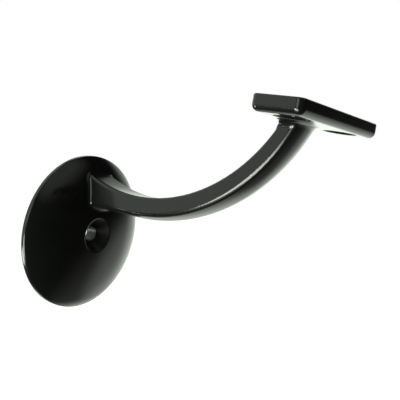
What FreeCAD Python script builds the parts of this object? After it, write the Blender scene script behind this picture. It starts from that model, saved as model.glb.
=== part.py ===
import FreeCAD, Part
import math
import os
from FreeCAD import Vector

# Handrail wall bracket: one casting of a domed rose, a curved arm and a flat saddle plate.
# Millimetres. X runs along the rail, Y out of the wall, Z up.
# The origin is the centre of the rose's back, on the wall.

# Rose
rose_radius = 25.0
rim_height = 1.2
dome_rise = 6.3
dome_overrun = 1.2
rim_round = 0.4

# Wall screw hole through the middle of the rose
wall_screw_radius = 2.4
wall_head_radius = 5.8

# Arm
arm_width = 10.8
arm_low_height = 15.6
arm_low_reach = 24.2
arm_side_depth = 5.5
arm_taper = 1.9
belly_sag = 1.2
upper_edge_round = 1.0
lower_edge_round = 1.4
root_fillet = 1.2

# Saddle plate
projection = 77.7
saddle_top_height = 47.5
saddle_length = 46.0
saddle_width = 14.6
saddle_thickness = 4.3
saddle_corner_round = 2.0
saddle_lower_round = 1.8
saddle_upper_round = 0.5
neck_fillet = 2.0
neck_margin = 0.2
neck_overhang = 0.6

# Rail screw holes, one near each end of the saddle plate
rail_hole_inset = 8.9
rail_screw_radius = 2.5
rail_head_radius = 4.75

# Every hole is countersunk at the angle of a wood screw's head, and its mouth's edge is softened
countersink_angle = 90.0
mouth_round = 0.4

# Share of a wall that an edge's rounding may take up
round_share = 0.45

# Two places nearer than this are the same place
same_place = 0.001

across = Vector(1, 0, 0)
outward = Vector(0, 1, 0)
upward = Vector(0, 0, 1)

rose_height = rim_height + dome_rise
saddle_bottom = saddle_top_height - saddle_thickness
saddle_middle = saddle_top_height - saddle_thickness / 2
saddle_half = saddle_length / 2
saddle_wall_edge = projection - saddle_width / 2
saddle_rail_edge = projection + saddle_width / 2
arm_half = arm_width / 2
arm_side_bottom = arm_low_height - arm_side_depth
arm_bottom = arm_side_bottom - belly_sag

# The upper bend is the arc that is level at the arm's low point and ends under the saddle, at the neck's
# overhang past its wall-side edge.
bend_run = saddle_wall_edge - neck_overhang - arm_low_reach
bend_climb = saddle_bottom - arm_low_height
upper_radius = (bend_run**2 + bend_climb**2) / (2 * bend_climb)
upper_centre = Vector(0, arm_low_reach, arm_low_height + upper_radius)

# The lower bend is level at the same reach. Its centre is lower, which thins the arm towards the saddle.
lower_centre = upper_centre - upward * arm_taper
lower_radius = lower_centre.z - arm_bottom


def limited(radius, wall):
    """A rounding no larger than its share of the wall that it is cut from."""
    return min(radius, wall * round_share)


def box_between(low, high):
    """A box from its lowest corner to its highest."""
    size = high - low
    return Part.makeBox(size.x, size.y, size.z, low)


def middle_of(edge):
    """The point halfway along an edge."""
    return edge.valueAt((edge.FirstParameter + edge.LastParameter) / 2)


def dome_profile():
    """The dome's section: an oval arc from the rim's edge to the crown."""
    half_length = rose_radius + dome_overrun
    rim_angle = math.acos(rose_radius / half_length)
    half_height = dome_rise / (1 - math.sin(rim_angle))
    oval = Part.Ellipse(Vector(0, rose_height - half_height, 0), half_length, half_height)
    return Part.ArcOfEllipse(oval, rim_angle, math.pi / 2).toShape()


def make_rose():
    """The domed disc, turned about the wall screw's axis, with the rim's front edge softened."""
    rim_back = Vector(rose_radius, 0, 0)
    rim_front = Vector(rose_radius, rim_height, 0)
    edges = [
        Part.makeLine(Vector(), rim_back),
        Part.makeLine(rim_back, rim_front),
        dome_profile(),
        Part.makeLine(outward * rose_height, Vector()),
    ]
    disc = Part.Face(Part.Wire(edges)).revolve(Vector(), outward, 360)
    rims = [e for e in disc.Edges if e.Closed and abs(e.CenterOfMass.y - rim_height) < same_place]
    return disc.makeFillet(limited(rim_round, rim_height), rims)


def belly_section(top):
    """The arm's cross-section at its low point: straight sides up to a height, and a crowned underside."""
    left_low = Vector(-arm_half, arm_low_reach, arm_side_bottom)
    right_low = Vector(arm_half, arm_low_reach, arm_side_bottom)
    left_top = Vector(-arm_half, arm_low_reach, top)
    right_top = Vector(arm_half, arm_low_reach, top)
    edges = [
        Part.Arc(left_low, Vector(0, arm_low_reach, arm_bottom), right_low).toShape(),
        Part.makeLine(right_low, right_top),
        Part.makeLine(right_top, left_top),
        Part.makeLine(left_top, left_low),
    ]
    return Part.Face(Part.Wire(edges))


def bend_space():
    """The round space over the arm: everything inside the upper bend."""
    return Part.makeCylinder(upper_radius, saddle_length, upper_centre - across * saddle_half, across)


def make_arm():
    """The arm with sharp edges, from inside the dome to inside the saddle plate."""
    bend = belly_section(arm_low_height + arm_side_depth).revolve(lower_centre, across, 90)
    root_run = arm_low_reach - rim_height
    root_top = upper_centre.z - math.sqrt(upper_radius**2 - root_run**2) + arm_side_depth
    root = belly_section(root_top).extrude(-outward * root_run)
    far_corner = Vector(saddle_half, arm_low_reach + 2 * lower_radius, saddle_middle)
    under_saddle = box_between(Vector(-saddle_half, 0, arm_bottom - arm_side_depth), far_corner)
    return bend.fuse(root).cut(bend_space()).common(under_saddle).removeSplitter()


def height_off_bend(point):
    """How far outside the upper bend a point lies."""
    return math.hypot(point.y - upper_centre.y, point.z - upper_centre.z) - upper_radius


def side_edges(arm):
    """The edges that run along the arm on its flat sides, as the upper ones and the lower ones."""
    upper = []
    lower = []
    for edge in arm.Edges:
        middle = middle_of(edge)
        on_side = abs(abs(middle.x) - arm_half) < same_place
        between_ends = middle.y > rim_height + same_place and middle.z < saddle_middle - same_place
        if on_side and between_ends:
            group = upper if height_off_bend(middle) < same_place else lower
            group.append(edge)
    return upper, lower


def round_arm(arm):
    """The arm with its long edges rounded: first the lower pair, then the upper pair."""
    arm = arm.makeFillet(limited(lower_edge_round, arm_half), side_edges(arm)[1])
    return arm.makeFillet(limited(upper_edge_round, arm_half), side_edges(arm)[0])


def flare_neck(arm):
    """The arm joined by a fillet to a slab inside the saddle plate, flush with the upper bend."""
    room = neck_fillet + neck_margin
    reach = arm_low_reach + math.sqrt(lower_radius**2 - (lower_centre.z - saddle_bottom) ** 2)
    low = Vector(-arm_half - room, arm_low_reach + bend_run - 2 * room, saddle_bottom)
    high = Vector(arm_half + room, reach + room, saddle_middle)
    joined = arm.fuse(box_between(low, high)).removeSplitter()
    loop = []
    for edge in joined.Edges:
        middle = middle_of(edge)
        on_underside = abs(middle.z - saddle_bottom) < same_place
        inside_x = low.x + same_place < middle.x < high.x - same_place
        inside_y = low.y + same_place < middle.y < high.y - same_place
        if on_underside and inside_x and inside_y:
            loop.append(edge)
    return joined.makeFillet(neck_fillet, loop).cut(bend_space())


def round_edges_at(plate, height, radius):
    """The plate with the edges whose middles lie at a height rounded."""
    edges = [e for e in plate.Edges if abs(middle_of(e).z - height) < same_place]
    return plate.makeFillet(radius, edges)


def make_saddle():
    """The flat plate under the rail: well rounded upright corners and lower edges, crisp upper edges."""
    low = Vector(-saddle_half, saddle_wall_edge, saddle_bottom)
    high = Vector(saddle_half, saddle_rail_edge, saddle_top_height)
    corner = limited(saddle_corner_round, saddle_width)
    largest = min(corner - same_place, limited(corner, saddle_thickness))
    plate = round_edges_at(box_between(low, high), saddle_middle, corner)
    plate = round_edges_at(plate, saddle_bottom, min(saddle_lower_round, largest))
    return round_edges_at(plate, saddle_top_height, min(saddle_upper_round, largest))


def fillet_root(casting):
    """The casting with a fillet where the arm leaves the dome."""
    loop = []
    for edge in casting.Edges:
        middle = middle_of(edge)
        on_arm = abs(middle.x) < arm_half + same_place and middle.z > wall_head_radius
        on_dome = rim_height < middle.y < rose_height and edge.BoundBox.YMax < rose_height + same_place
        if on_arm and on_dome:
            loop.append(edge)
    return casting.makeFillet(root_fillet, loop)


def countersunk_hole(mouth, way, screw_radius, head_radius, depth):
    """A screw's hole from the mouth of its countersink, as a tool to cut with."""
    cone_depth = (head_radius - screw_radius) / math.tan(math.radians(countersink_angle / 2))
    start = mouth - way * cone_depth
    outer_radius = 2 * head_radius - screw_radius
    cone = Part.makeCone(outer_radius, screw_radius, 2 * cone_depth, start, way)
    bore = Part.makeCylinder(screw_radius, 2 * depth, mouth, way)
    return cone.fuse(bore)


def mouth_edges(casting, mouth, way, screw_radius, head_radius):
    """The edges that circle a hole's axis, wider than the screw and no wider than its head."""
    found = []
    for edge in casting.Edges:
        start_reach = (edge.valueAt(edge.FirstParameter) - mouth).cross(way).Length
        middle_reach = (middle_of(edge) - mouth).cross(way).Length
        if abs(start_reach - middle_reach) < same_place < middle_reach - screw_radius:
            if middle_reach < head_radius + same_place:
                found.append(edge)
    return found


def sink_hole(casting, mouth, way, screw_radius, head_radius, depth):
    """The casting with one countersunk hole cut into it, its mouth's edge softened."""
    casting = casting.cut(countersunk_hole(mouth, way, screw_radius, head_radius, depth))
    edges = mouth_edges(casting, mouth, way, screw_radius, head_radius)
    return casting.makeFillet(limited(mouth_round, head_radius - screw_radius), edges)


def sink_holes(casting):
    """The casting with the wall screw's hole through the crown and the rail screws' under the saddle."""
    crown = outward * rose_height
    casting = sink_hole(casting, crown, -outward, wall_screw_radius, wall_head_radius, rose_height)
    for side in (-1, 1):
        mouth = Vector(side * (saddle_half - rail_hole_inset), projection, saddle_bottom)
        casting = sink_hole(casting, mouth, upward, rail_screw_radius, rail_head_radius, saddle_thickness)
    return casting


def make_casting():
    """The whole bracket as one solid."""
    arm = flare_neck(round_arm(make_arm()))
    casting = fillet_root(make_rose().fuse(arm).removeSplitter())
    return sink_holes(casting.fuse(make_saddle()).removeSplitter())


os.makedirs("parts", exist_ok=True)
make_casting().exportStep("parts/bracket_casting.step")
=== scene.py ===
import math

import bpy
import numpy as np
from mathutils import Matrix, Vector


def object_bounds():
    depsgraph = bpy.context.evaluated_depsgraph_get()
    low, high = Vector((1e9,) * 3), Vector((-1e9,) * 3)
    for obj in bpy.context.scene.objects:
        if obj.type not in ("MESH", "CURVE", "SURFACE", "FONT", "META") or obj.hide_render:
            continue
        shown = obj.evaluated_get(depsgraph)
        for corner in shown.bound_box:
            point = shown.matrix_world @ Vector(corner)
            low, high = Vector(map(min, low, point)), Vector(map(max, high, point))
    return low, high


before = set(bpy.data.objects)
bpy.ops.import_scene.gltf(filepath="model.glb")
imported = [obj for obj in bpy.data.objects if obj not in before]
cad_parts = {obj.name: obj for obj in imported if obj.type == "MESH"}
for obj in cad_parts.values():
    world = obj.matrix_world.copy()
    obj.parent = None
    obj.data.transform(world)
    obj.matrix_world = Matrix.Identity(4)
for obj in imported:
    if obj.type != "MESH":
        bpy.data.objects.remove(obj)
cad_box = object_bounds()
scene = bpy.context.scene
scene.view_settings.view_transform = "Standard"


# The bracket casting: a domed wall rose, a curved arm and a flat saddle plate, poured as one piece of zinc.
# Its stoved black enamel is a semi-gloss skin with a faint orange peel and a few specks of dust.
# The spray falls dry and matt on the faces that the wall and the rail hide, and in the wall screw's sink.
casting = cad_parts["bracket_casting"]
wall_plane = cad_box[0][1]
rail_plane = cad_box[1][2]

enamel_thick = (0.0042, 0.0048, 0.0040, 1.0)
enamel_thin = (0.0075, 0.0082, 0.0070, 1.0)
enamel_roughness = (0.12, 0.17)
flow_cells_per_metre = 120.0
flow_detail = 3.0

peel_cells_per_metre = 900.0
peel_detail = 2.0
peel_height = 0.000004

dust_grey = (0.060, 0.064, 0.058, 1.0)
dust_cells_per_metre = 80.0
dust_radius = 0.00016
dust_blur = 0.00008

hidden_roughness = 0.75
back_edge = (wall_plane + 0.0001, wall_plane + 0.0004)
top_edge = (rail_plane - 0.0002, rail_plane)
sink_roughness = 0.38
sink_edge = (0.0059, 0.0053)


def feed(tree, socket, source):
    """Links a socket to an output, or sets it when the source is a plain value."""
    if isinstance(source, bpy.types.NodeSocket):
        tree.links.new(source, socket)
    else:
        socket.default_value = source


def result_of(node):
    """The first output that the node's present mode uses."""
    return next(output for output in node.outputs if output.enabled)


def add_node(tree, kind, label, **inputs):
    """A new node with its named inputs linked to outputs or set to plain values."""
    node = tree.nodes.new(kind)
    node.label = label
    for name, source in inputs.items():
        feed(tree, node.inputs[name.replace("_", " ")], source)
    return node


def add_noise(tree, label, place, cells_per_metre, detail):
    """Soft random waves between 0 and 1."""
    sizes = dict(Scale=cells_per_metre, Detail=detail)
    return add_node(tree, "ShaderNodeTexNoise", label, Vector=place, **sizes).outputs["Fac"]


def add_ramp(tree, label, value, edge, low, high, shape="LINEAR"):
    """A number that runs from the low one to the high one as a value crosses an edge."""
    ends = dict(From_Min=edge[0], From_Max=edge[1], To_Min=low, To_Max=high)
    ramp = add_node(tree, "ShaderNodeMapRange", label, Value=value, **ends)
    ramp.interpolation_type = shape
    return result_of(ramp)


def add_math(tree, kind, operation, *sources):
    """The result of one step of plain or vector arithmetic on its sources."""
    step = tree.nodes.new(kind)
    step.operation = operation
    for socket, source in zip(step.inputs, sources):
        feed(tree, socket, source)
    return result_of(step)


def add_blend(tree, label, kind, factor, low, high):
    """A colour or a number that runs from the low one to the high one as the factor goes from 0 to 1."""
    blend = tree.nodes.new("ShaderNodeMix")
    blend.label = label
    blend.data_type = kind
    in_use = [socket for socket in blend.inputs if socket.enabled]
    for socket, source in zip(in_use, (factor, low, high)):
        feed(tree, socket, source)
    return result_of(blend)


enamel = bpy.data.materials.new("black_enamel")
enamel.use_nodes = True
tree = enamel.node_tree
shader = tree.nodes["Principled BSDF"]
place = tree.nodes.new("ShaderNodeTexCoord").outputs["Object"]

# Colour: the enamel runs thicker and thinner, and a speck of dust is a small round spot.
flow = add_noise(tree, "flow", place, flow_cells_per_metre, flow_detail)
cells = add_node(tree, "ShaderNodeTexVoronoi", "dust", Vector=place, Scale=dust_cells_per_metre)
dust_edge = [(dust_radius + side * dust_blur) * dust_cells_per_metre for side in (-1, 1)]
speck = add_ramp(tree, "speck", cells.outputs["Distance"], dust_edge, 1.0, 0.0)
skin = add_blend(tree, "skin", "RGBA", flow, enamel_thick, enamel_thin)
feed(tree, shader.inputs["Base Color"], add_blend(tree, "dusty skin", "RGBA", speck, skin, dust_grey))

# Gloss: it follows the enamel's flow, and each dry place is rougher.
axes = add_node(tree, "ShaderNodeSeparateXYZ", "axes", Vector=place).outputs
along_wall = add_math(tree, "ShaderNodeVectorMath", "MULTIPLY", place, (1.0, 0.0, 1.0))
reach = add_math(tree, "ShaderNodeVectorMath", "LENGTH", along_wall)
back = add_ramp(tree, "dry back", axes["Y"], back_edge, hidden_roughness, 0.0)
top = add_ramp(tree, "dry top", axes["Z"], top_edge, 0.0, hidden_roughness)
sink = add_ramp(tree, "dry sink", reach, sink_edge, 0.0, sink_roughness)
coat = add_ramp(tree, "gloss", flow, (0.0, 1.0), *enamel_roughness)
for dry in (back, top, sink):
    coat = add_math(tree, "ShaderNodeMath", "MAXIMUM", coat, dry)
feed(tree, shader.inputs["Roughness"], coat)

# Orange peel: a fine, shallow waviness.
peel = add_noise(tree, "peel", place, peel_cells_per_metre, peel_detail)
relief = add_node(tree, "ShaderNodeBump", "relief", Height=peel, Distance=peel_height)
feed(tree, shader.inputs["Normal"], relief.outputs["Normal"])
for slot in casting.material_slots:
    slot.material = enamel


# The floor: a wide disc of white paper, laid level well below the bracket.
# It is lit to plain white for the camera. The low lights shine past it, and the enamel doesn't mirror it.
floor_radius = 4.0
floor_drop = 0.16
floor_points = 64
paper_white = (0.85, 0.85, 0.85, 1.0)
plain_white = (1.0, 1.0, 1.0, 1.0)
paper_glow = 0.75


def disc_points(radius, height, count):
    """Points evenly spaced round a level circle: the radius times the cosine and the sine of the turn."""
    turn = np.arange(count) * (2 * np.pi / count)
    return np.stack([radius * np.cos(turn), radius * np.sin(turn), np.full(count, height)], axis=1)


sheet = bpy.data.meshes.new("paper_floor")
sheet.from_pydata(disc_points(floor_radius, -floor_drop, floor_points), [], [np.arange(floor_points)])
floor = bpy.data.objects.new("paper_floor", sheet)
scene.collection.objects.link(floor)
paper = bpy.data.materials.new("white_paper")
paper.use_nodes = True
tree = paper.node_tree
shader = tree.nodes["Principled BSDF"]
shader.inputs["Base Color"].default_value = paper_white
shader.inputs["Roughness"].default_value = 1.0
shader.inputs["Specular IOR Level"].default_value = 0.0
shader.inputs["Emission Color"].default_value = plain_white
seen = tree.nodes.new("ShaderNodeLightPath").outputs["Is Camera Ray"]
glow = add_math(tree, "ShaderNodeMath", "MULTIPLY", seen, paper_glow)
feed(tree, shader.inputs["Emission Strength"], glow)
sheet.materials.append(paper)
floor.visible_diffuse = False
floor.visible_glossy = False
floor.visible_transmission = False
floor.visible_shadow = False


# The studio: pale paper behind and below, cards to the left, a softbox overhead and small lamps low down.
# Each is a soft patch at an azimuth and an elevation, full inside its inner angle and dark past its outer.
# The room in front is dark, and the camera itself sees plain white.
studio_tint = (0.94, 1.0, 0.92, 1.0)
room_glow = 0.02
patches = {
    "backdrop": dict(azimuth=206, elevation=-24, inner=15, outer=46, strength=0.7),
    "backdrop spill": dict(azimuth=166, elevation=-33, inner=10, outer=42, strength=0.25),
    "horizon": dict(azimuth=196, elevation=5, inner=8, outer=36, strength=1.0),
    "side paper": dict(azimuth=164, elevation=-20, inner=6, outer=24, strength=0.6),
    "far card": dict(azimuth=243, elevation=12, inner=8, outer=26, strength=1.6),
    "lit paper": dict(azimuth=215, elevation=-52, inner=12, outer=34, strength=0.8),
    "left card": dict(azimuth=300, elevation=24, inner=36, outer=54, strength=0.9),
    "overhead softbox": dict(azimuth=86, elevation=52, inner=12, outer=40, strength=0.45),
    "low lamp": dict(azimuth=358, elevation=-27, inner=8, outer=20, strength=7.0),
    "strip lamp": dict(azimuth=343, elevation=-22, inner=7, outer=12, strength=14.0),
    "left lamp": dict(azimuth=300, elevation=-32, inner=4, outer=11, strength=10.0),
    "corner lamp": dict(azimuth=14, elevation=-35, inner=6, outer=13, strength=12.0),
    "lamp spill": dict(azimuth=4, elevation=-38, inner=5, outer=36, strength=0.9),
    "right glow": dict(azimuth=4, elevation=12, inner=5, outer=20, strength=2.4),
}


def heading(azimuth, elevation):
    """The unit vector at an azimuth from +X towards +Y and an elevation above the horizon, in degrees.

    Its level parts are the elevation's cosine times the azimuth's cosine and sine.
    It rises by the elevation's sine.
    """
    turn = math.radians(azimuth)
    climb = math.radians(elevation)
    return Vector((math.cos(climb) * math.cos(turn), math.cos(climb) * math.sin(turn), math.sin(climb)))


world = bpy.data.worlds.new("studio")
scene.world = world
world.use_nodes = True
tree = world.node_tree
background = tree.nodes["Background"]
ray = tree.nodes.new("ShaderNodeTexCoord").outputs["Generated"]
total = room_glow
for name, patch in patches.items():
    middle = heading(patch["azimuth"], patch["elevation"])
    facing = add_math(tree, "ShaderNodeVectorMath", "DOT_PRODUCT", ray, middle)
    edge = [math.cos(math.radians(patch[side])) for side in ("outer", "inner")]
    light = add_ramp(tree, name, facing, edge, 0.0, patch["strength"], "SMOOTHSTEP")
    total = add_math(tree, "ShaderNodeMath", "ADD", total, light)
seen = tree.nodes.new("ShaderNodeLightPath").outputs["Is Camera Ray"]
tint = add_blend(tree, "tint", "RGBA", seen, studio_tint, plain_white)
level = add_blend(tree, "white for the camera", "FLOAT", seen, total, 1.0)
feed(tree, background.inputs["Color"], tint)
feed(tree, background.inputs["Strength"], level)


# The camera stands out from the wall and to one side of the bracket, about 0.21 m from the arm.
# It looks almost level, and it is slightly rolled.
camera_place = Vector((0.16926, 0.16446, 0.02912))
camera_target = Vector((0.0, 0.04469, 0.01796))
camera_roll = math.radians(9.58)
camera_lens = 64.41
camera_nearest = 0.01

camera = bpy.data.objects.new("camera", bpy.data.cameras.new("camera"))
camera.data.lens = camera_lens
camera.data.clip_start = camera_nearest
aim = (camera_target - camera_place).to_track_quat("-Z", "Y").to_matrix().to_4x4()
camera.matrix_world = Matrix.Translation(camera_place) @ aim @ Matrix.Rotation(camera_roll, 4, "Z")
scene.collection.objects.link(camera)
scene.camera = camera
